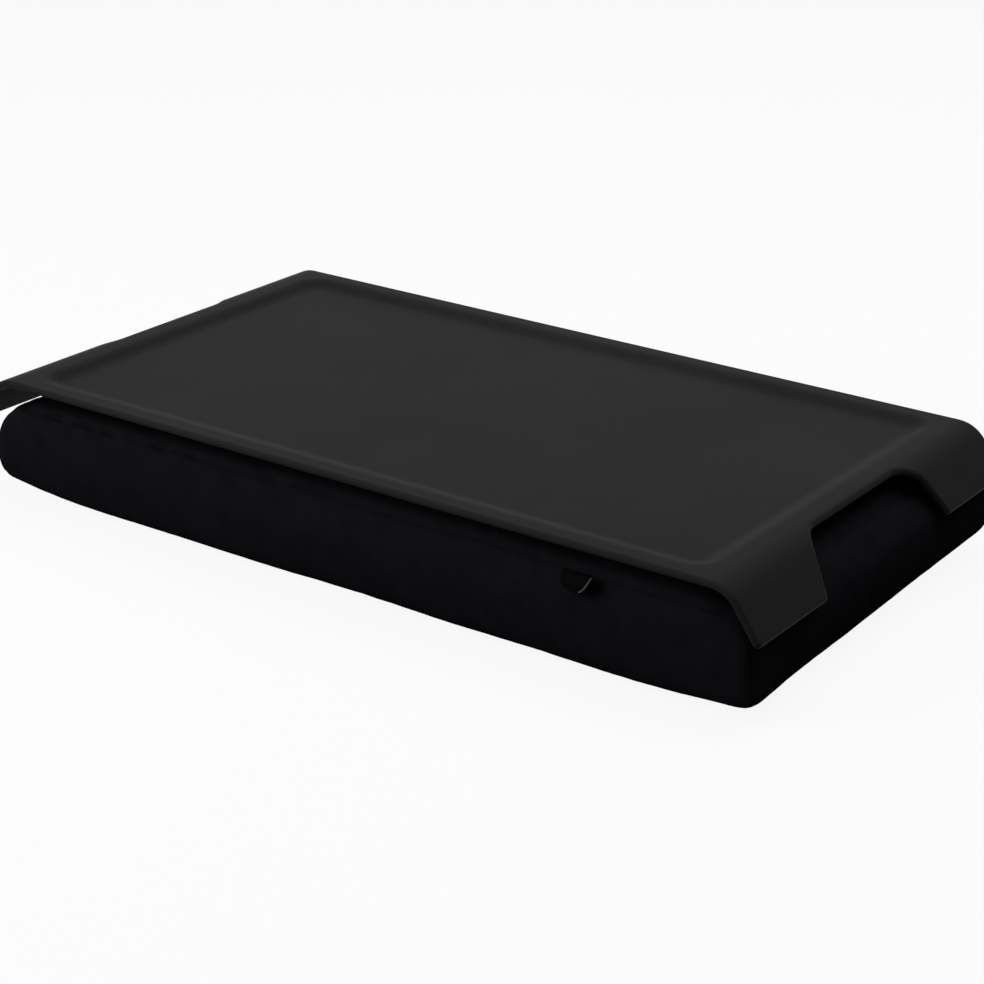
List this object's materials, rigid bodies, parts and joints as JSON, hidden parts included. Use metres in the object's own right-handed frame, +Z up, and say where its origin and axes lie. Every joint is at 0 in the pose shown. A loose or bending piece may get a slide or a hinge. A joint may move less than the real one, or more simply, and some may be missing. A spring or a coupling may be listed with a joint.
{
  "type": "lap tray with cushion",
  "caption": "Rectangular plastic lap tray with a shallow recess and turned-down ends with hand holds, held by hook-and-loop pads on a zipped cushion.",
  "frame": {"origin": "on the floor, under the middle of the tray", "axes": "+X along the tray's length, +Z up through the tray, -Y towards the side with the sewn label"},
  "size_m": [0.4284, 0.2372, 0.06],
  "materials": {
    "tray_plastic": "satin",
    "cover_fabric": "matte",
    "zip_tape": "matte",
    "zip_coil": "satin",
    "zip_metal": "satin",
    "bag_fabric": "matte",
    "bead_fill": "matte",
    "label_tape": "matte",
    "hook_tape": "matte",
    "loop_tape": "matte"
  },
  "bodies": {
    "cushion": {"cover_top_panel": "cover_fabric", "cover_bottom_panel": "cover_fabric", "side_band": "cover_fabric", "zip_band_upper": "cover_fabric", "zip_band_lower": "cover_fabric", "zip_tape_upper": "zip_tape", "zip_tape_lower": "zip_tape", "zip_coil_upper": "zip_coil", "zip_coil_lower": "zip_coil", "inner_bag": "bag_fabric", "bead_fill": "bead_fill", "label_loop": "label_tape", "loop_pad_front_left": "loop_tape", "loop_pad_front_right": "loop_tape", "loop_pad_back_left": "loop_tape", "loop_pad_back_right": "loop_tape"},
    "tray": {"tray_shell": "tray_plastic", "hook_pad_front_left": "hook_tape", "hook_pad_front_right": "hook_tape", "hook_pad_back_left": "hook_tape", "hook_pad_back_right": "hook_tape"},
    "zip_slider": {"zip_slider": "zip_metal"},
    "zip_pull": {"zip_pull": "zip_metal"}
  },
  "joints": [
    {"name": "tray_lift", "type": "slide", "parent": "cushion", "child": "tray", "axis": [0, 0, 1], "range_m": [0, 0.08]},
    {"name": "slider_slide", "type": "slide", "parent": "cushion", "child": "zip_slider", "axis": [-1, 0, 0], "range_m": [0, 0.26]},
    {"name": "pull_swing", "type": "hinge", "parent": "zip_slider", "child": "zip_pull", "pos_m": [0.13465, 0.11675, 0.027], "axis": [0, 0, -1], "range_deg": [0, 170]}
  ]
}
